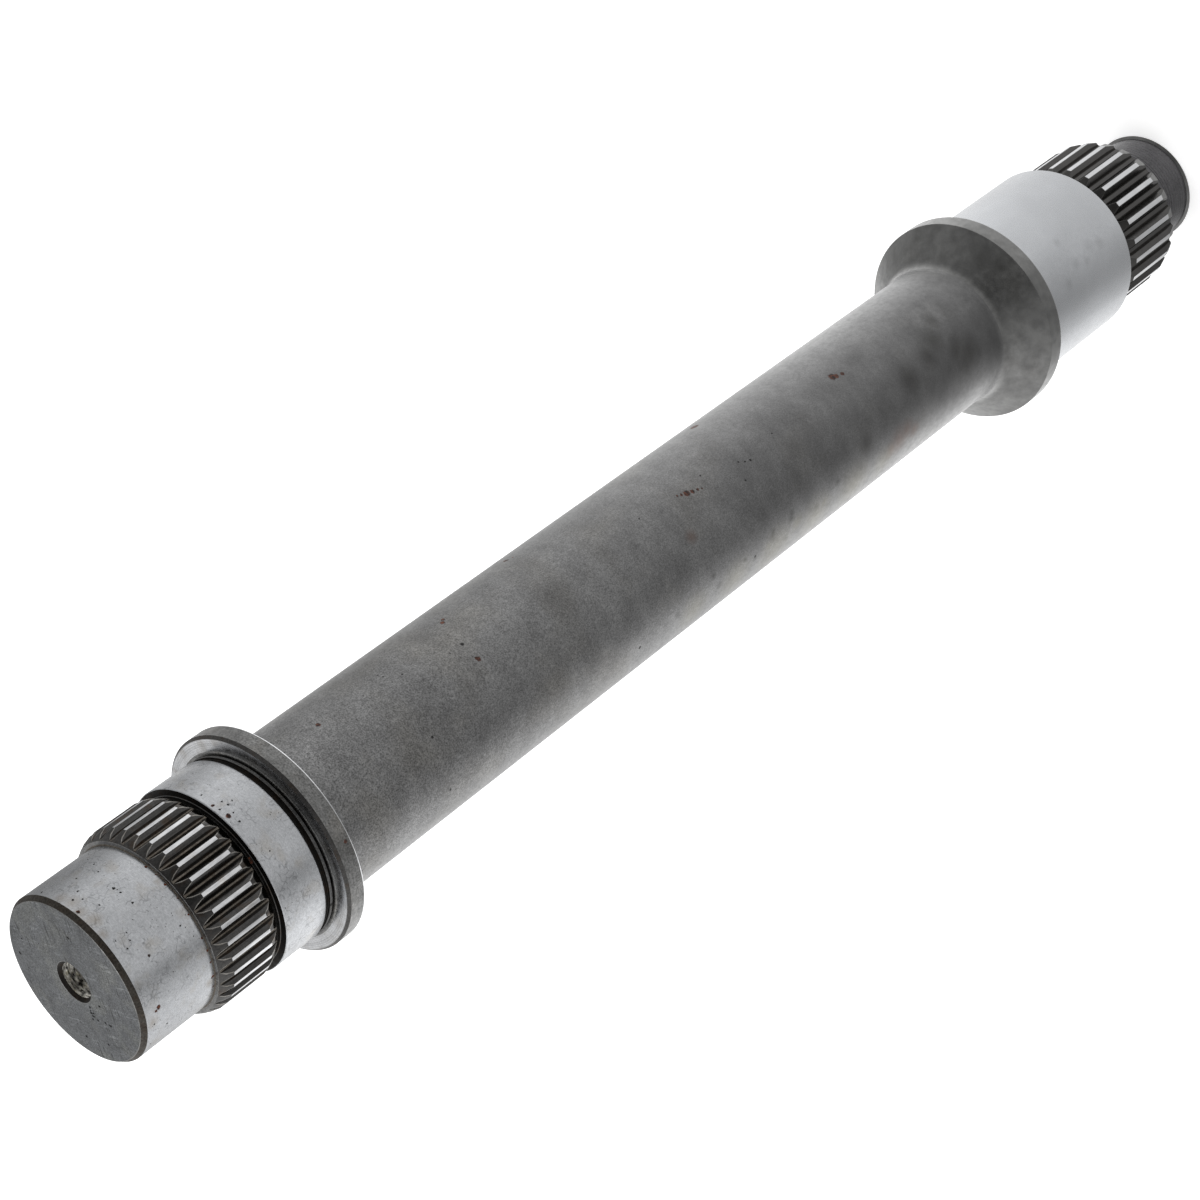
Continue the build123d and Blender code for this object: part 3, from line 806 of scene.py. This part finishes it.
# Geometry Nodes: the turns of a thread, from a spiral and the section of one turn
def threadTree():
    tree = bpy.data.node_groups.new("threadTurns", "GeometryNodeTree")
    newInputs(tree, threadValues(endThread))
    tree.interface.new_socket("Geometry", in_out="OUTPUT", socket_type="NodeSocketGeometry")
    given = addNode(tree, "NodeGroupInput").outputs
    spiral = addNode(tree, "GeometryNodeCurveSpiral", {
        "Resolution": given["Points Per Turn"], "Rotations": given["Turns"], "Start Radius": given["Radius"],
        "End Radius": given["Radius"], "Height": given["Length"]})
    upright = addNode(tree, "GeometryNodeSetCurveNormal", {"mode": "Z_UP", "Curve": spiral})
    along = addNode(tree, "GeometryNodeSplineParameter").outputs["Factor"]
    left = addNode(tree, "ShaderNodeMath", {"operation": "SUBTRACT", 0: 1.0, 1: along})
    nearEnd = addNode(tree, "ShaderNodeMath", {"operation": "MINIMUM", 0: along, 1: left})
    scale = addNode(tree, "ShaderNodeMapRange", {
        "From Min": 0.0, "From Max": given["Fade"], "To Min": 0.02, "To Max": 1.0, "Value": nearEnd})
    section = addNode(tree, "GeometryNodeCurvePrimitiveQuadrilateral", {
        "mode": "TRAPEZOID", "Offset": 0.0, "Bottom Width": given["Root Width"],
        "Top Width": given["Crest Width"], "Height": given["Depth"]})
    share = addNode(tree, "ShaderNodeMath", {"operation": "MULTIPLY", 0: given["Side"], 1: standOff})
    outward = addNode(tree, "ShaderNodeMath", {"operation": "MULTIPLY", 0: share, 1: given["Depth"]})
    shift = addNode(tree, "ShaderNodeCombineXYZ", {"X": outward})
    quarter = addNode(tree, "ShaderNodeMath", {
        "operation": "MULTIPLY", 0: given["Side"], 1: math.radians(-90)})
    turned = addNode(tree, "ShaderNodeCombineXYZ", {"Z": quarter})
    placed = addNode(tree, "GeometryNodeTransform", {
        "Geometry": section, "Translation": shift, "Rotation": turned})
    swept = addNode(tree, "GeometryNodeCurveToMesh", {
        "Curve": upright, "Profile Curve": placed, "Scale": scale, "Fill Caps": True})
    lift = addNode(tree, "ShaderNodeCombineXYZ", {"Z": given["Start"]})
    lifted = addNode(tree, "GeometryNodeTransform", {"Geometry": swept, "Translation": lift})
    named = addNode(tree, "GeometryNodeStoreNamedAttribute", {
        "data_type": "INT", "domain": "FACE", "Name": "finish", "Geometry": lifted, "Value": given["Finish"]})
    addNode(tree, "NodeGroupOutput", {"Geometry": named})
    return tree


# Geometry Nodes: both halves, the threads, and a material for each finish
def shaftTree(ringTree, turnsTree):
    tree = bpy.data.node_groups.new("outputShaftSkin", "GeometryNodeTree")
    values = {
        "Lower Sector": lowerSector, "Upper Sector": upperSector,
        "Drive Teeth": driveTeeth["count"], "Drive First Gap": math.radians(driveTeeth["firstGap"]),
        "Pilot Teeth": pilotTeeth["count"], "Pilot First Gap": math.radians(pilotTeeth["firstGap"]),
        "Merge Distance": shaft["mergeDistance"] * mm, "Shaft Length": shaft["top"] * mm,
    }
    for prefix, turns in (("End Thread ", endThread), ("Hole Thread ", holeThread)):
        values.update({prefix + name: value for name, value in threadValues(turns).items()})
    newInputs(tree, values)
    tree.interface.new_socket("Geometry", in_out="OUTPUT", socket_type="NodeSocketGeometry")
    given = addNode(tree, "NodeGroupInput").outputs
    skin = addNode(tree, "GeometryNodeJoinGeometry")
    for half, teeth in (("Lower", "Drive"), ("Upper", "Pilot")):
        ring = addNode(tree, "GeometryNodeGroup", {
            "node_tree": ringTree, "Sector": given[half + " Sector"], "Count": given[teeth + " Teeth"],
            "First Gap": given[teeth + " First Gap"]})
        tree.links.new(ring.outputs[0], skin.inputs[0])
    merged = addNode(tree, "GeometryNodeMergeByDistance", {
        "Geometry": skin, "Distance": given["Merge Distance"]})

    parts = [
        addNode(tree, "GeometryNodeGroup", {
            "node_tree": turnsTree, **{name: given[prefix + name] for name in threadValues(endThread)}})
        for prefix in ("End Thread ", "Hole Thread ")]
    top = addNode(tree, "ShaderNodeCombineXYZ", {"Z": given["Shaft Length"]})
    parts.append(addNode(tree, "GeometryNodeTransform", {
        "Rotation": (math.pi, 0, 0), "Geometry": parts[1], "Translation": top}))
    whole = addNode(tree, "GeometryNodeJoinGeometry")
    for part in parts + [merged]:
        tree.links.new(part.outputs[0], whole.inputs[0])
    last = addNode(tree, "GeometryNodeRealizeInstances", {"Geometry": whole})
    stored = addNode(tree, "GeometryNodeInputNamedAttribute", {"data_type": "INT", "Name": "finish"})
    for number, key in enumerate(finishNames):
        chosen = addNode(tree, "FunctionNodeCompare", {
            "data_type": "INT", "operation": "EQUAL", 2: stored, 3: number})
        last = addNode(tree, "GeometryNodeSetMaterial", {
            "Geometry": last, "Selection": chosen, "Material": materials[key]})
    addNode(tree, "NodeGroupOutput", {"Geometry": last})
    sockets = {item.name: item.identifier for item in tree.interface.items_tree if item.in_out == "INPUT"}
    return tree, {sockets[name]: value for name, value in values.items()}


print("shaft: skin and threads")
skinTree, skinValues = shaftTree(sectorRingTree(), threadTree())
host = bpy.data.objects.new("shaftHost", bpy.data.meshes.new("shaftHost"))
bpy.context.collection.objects.link(host)
modifier = host.modifiers.new("skin", "NODES")
modifier.node_group = skinTree
for identifier, value in skinValues.items():
    modifier[identifier] = value
evaluated = host.evaluated_get(bpy.context.evaluated_depsgraph_get())
shaftMesh = bpy.data.meshes.new_from_object(evaluated)
for extra in (host, lowerSector, upperSector):
    bpy.data.objects.remove(extra)
shaftMesh.shade_smooth()
shaftMesh.set_sharp_from_angle(angle=math.radians(leastAngle))
outputShaft = bpy.data.objects.new("outputShaft", shaftMesh)
bpy.context.collection.objects.link(outputShaft)
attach(outputShaft, "root")
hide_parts("output_shaft")
triangles = sum(len(p.vertices) - 2 for p in shaftMesh.polygons)
print("shaft:", len(shaftMesh.polygons), "faces,", triangles, "triangles")


# Stage: a pale floor, which the steel mirrors in greys that change with azimuth in degrees. There is a fan of
# greys for each distance from the shaft, in metres. Overhead is where the sky turns to the light above, and
# the level of that light.
stage = {
    "size": 12.0, "colour": "#EDEDED", "cameraGlow": 0.5,
    "fans": [
        (0.1, [
            (-180, 0.72), (-154, 0.44), (-140, 0.43), (-120, 0.54), (-104, 0.67), (-76, 0.74), (-50, 0.78),
            (-30, 0.86), (-10, 0.9), (10, 0.97), (30, 1.0), (130, 1.2), (150, 1.08), (170, 0.94),
        ]),
        (0.17, [
            (-170, 0.55), (-154, 0.3), (-140, 0.22), (-120, 0.34), (-104, 0.37), (-90, 0.5), (-76, 0.85),
            (-50, 1.08), (-30, 1.19), (-10, 1.67), (10, 1.8), (30, 1.8), (150, 1.8), (170, 1.24),
        ]),
        (0.26, [
            (-170, 0.71), (-154, 0.41), (-140, 0.35), (-120, 0.42), (-104, 0.43), (-90, 0.47), (-76, 0.59),
            (-50, 0.65), (-30, 0.75), (-10, 1.18), (10, 1.27), (30, 1.33), (150, 1.47), (170, 1.04),
        ]),
        (0.4, [
            (-180, 0.85), (-154, 0.44), (-143, 0.38), (-131, 0.46), (-120, 0.55), (-76, 0.64), (-50, 0.74),
            (-30, 0.97), (-10, 1.07), (10, 0.94), (30, 0.9), (130, 1.1), (150, 1.08), (170, 1.36),
        ]),
        (0.58, [
            (-180, 0.68), (-154, 0.45), (-143, 0.32), (-131, 0.39), (-120, 0.45), (-90, 0.53), (-76, 0.54),
            (-50, 0.69), (-30, 0.87), (-10, 0.85), (10, 0.68), (30, 0.6), (130, 1.17), (150, 1.17),
            (170, 1.04),
        ]),
        (0.74, [
            (-180, 0.88), (-154, 0.5), (-143, 0.31), (-131, 0.47), (-120, 0.58), (-76, 0.58), (-50, 0.66),
            (-10, 1.0), (10, 0.84), (30, 0.6), (130, 1.45), (150, 1.5), (170, 1.3),
        ]),
        (1.05, [
            (-180, 0.7), (-170, 0.66), (-154, 0.53), (-143, 0.26), (-131, 0.54), (-120, 0.66), (-104, 0.62),
            (-76, 0.6), (-50, 0.65), (-10, 0.66), (10, 0.48), (40, 0.26), (70, 0.3), (130, 0.78),
            (150, 0.78), (170, 0.78),
        ]),
    ],
    "sky": [
        (-180, 0.8), (-162, 0.55), (-129, 0.36), (-90, 0.135), (-51, 0.22), (-18, 0.4), (10, 0.42),
        (55, 0.5), (90, 0.72), (124, 0.85), (170, 0.95),
    ],
    "overhead": (0.88, 0.95, 1.3),
}
print("stage: floor")
floorMesh = bpy.data.meshes.new("floor")
edge = stage["size"] / 2
floorCorners = [(-edge, -edge, 0), (edge, -edge, 0), (edge, edge, 0), (-edge, edge, 0)]
floorMesh.from_pydata(floorCorners, [], [(0, 1, 2, 3)])
floor = bpy.data.objects.new("floor", floorMesh)
bpy.context.collection.objects.link(floor)


# Greys by azimuth, read from the direction of a vector
def fanOfGreys(tree, levels, vector):
    angle = addNode(tree, "ShaderNodeTexGradient", {"gradient_type": "RADIAL", "Vector": vector})
    seam = levels[0][1]
    stops = [((azimuth + 180) / 360, level) for azimuth, level in levels if azimuth > -180]
    return greyRamp(tree, angle.outputs["Fac"], [(0.0, seam)] + stops + [(1.0, seam)])


# Floor: matt to the eye, and greys where the steel mirrors it
floorPaint = bpy.data.materials.new("paleStudioFloor")
floorPaint.use_nodes = True
tree = floorPaint.node_tree
tree.nodes.clear()
place = addNode(tree, "ShaderNodeTexCoord").outputs["Object"]
reach = addNode(tree, "ShaderNodeVectorMath", {"operation": "LENGTH", 0: place}).outputs["Value"]
fans = stage["fans"]
fan = fanOfGreys(tree, fans[0][1], place)
for (inner, _), (outer, levels) in zip(fans, fans[1:]):
    share = addNode(tree, "ShaderNodeMapRange", {"From Min": inner, "From Max": outer, "Value": reach})
    fan = addNode(tree, "ShaderNodeMix", {
        "data_type": "RGBA", 0: share, 6: fan, 7: fanOfGreys(tree, levels, place)}).outputs[2]
rays = addNode(tree, "ShaderNodeLightPath").outputs
matt = addNode(tree, "ShaderNodeBsdfDiffuse", {"Color": linear(stage["colour"])})
glow = addNode(tree, "ShaderNodeEmission", {"Strength": stage["cameraGlow"]})
glowing = addNode(tree, "ShaderNodeAddShader", {0: matt, 1: glow})
mirrored = addNode(tree, "ShaderNodeEmission", {"Color": fan})
forGlossy = addNode(tree, "ShaderNodeMixShader", {0: rays["Is Glossy Ray"], 1: matt, 2: mirrored})
forCamera = addNode(tree, "ShaderNodeMixShader", {0: rays["Is Camera Ray"], 1: forGlossy, 2: glowing})
addNode(tree, "ShaderNodeOutputMaterial", {"Surface": forCamera})
floorMesh.materials.append(floorPaint)

# Light: a soft sky that is brightest behind the shaft, and soft boxes for the floor's shadow, which the steel
# doesn't mirror
print("stage: light")
world = bpy.data.worlds.new("studio")
bpy.context.scene.world = world
world.use_nodes = True
tree = world.node_tree
direction = addNode(tree, "ShaderNodeTexCoord").outputs["Generated"]
upward = addNode(tree, "ShaderNodeSeparateXYZ", {0: direction}).outputs["Z"]
lowEdge, highEdge, level = stage["overhead"]
overhead = addNode(tree, "ShaderNodeMapRange", {"From Min": lowEdge, "From Max": highEdge, "Value": upward})
skyColour = addNode(tree, "ShaderNodeMix", {
    "data_type": "RGBA", 0: overhead, 6: fanOfGreys(tree, stage["sky"], direction),
    7: (level, level, level, 1)})
tree.links.new(skyColour.outputs[2], tree.nodes["Background"].inputs["Color"])
boxAim = Vector((0, 0, 0.3))
softBoxes = {
    "backBox": {"at": (0, 2.2, 2.6), "size": (3.0, 1.8), "power": 45},
    "leftBox": {"at": (-2.4, -0.2, 1.6), "size": (1.6, 1.6), "power": 25},
    "rightBox": {"at": (2.4, -0.2, 1.6), "size": (1.6, 1.6), "power": 25},
}
for name, box in softBoxes.items():
    lamp = bpy.data.lights.new(name, "AREA")
    lamp.shape = "RECTANGLE"
    lamp.size, lamp.size_y = box["size"]
    lamp.energy = box["power"]
    light = bpy.data.objects.new(name, lamp)
    light.location = box["at"]
    light.rotation_euler = (boxAim - Vector(box["at"])).to_track_quat("-Z", "Y").to_euler()
    light.visible_glossy = False
    bpy.context.collection.objects.link(light)

# Camera: fitted to the circles of the shaft's shoulders
print("stage: camera")
view = {
    "position": (-0.002714, -0.622094, 0.788252), "lens": 81.68454, "sensor": 36.0,
    "right": (-0.59946839, -0.48888187, -0.63374456), "up": (0.80039815, -0.36681942, -0.47413745),
    "back": (-0.000672614, -0.791478385, 0.611196788),
}
camera = bpy.data.objects.new("camera", bpy.data.cameras.new("camera"))
camera.data.lens = view["lens"]
camera.data.sensor_width = view["sensor"]
turn = Matrix((view["right"], view["up"], view["back"])).transposed().to_4x4()
camera.matrix_world = Matrix.Translation(view["position"]) @ turn
bpy.context.collection.objects.link(camera)
bpy.context.scene.camera = camera
bpy.context.scene.view_settings.view_transform = "Standard"
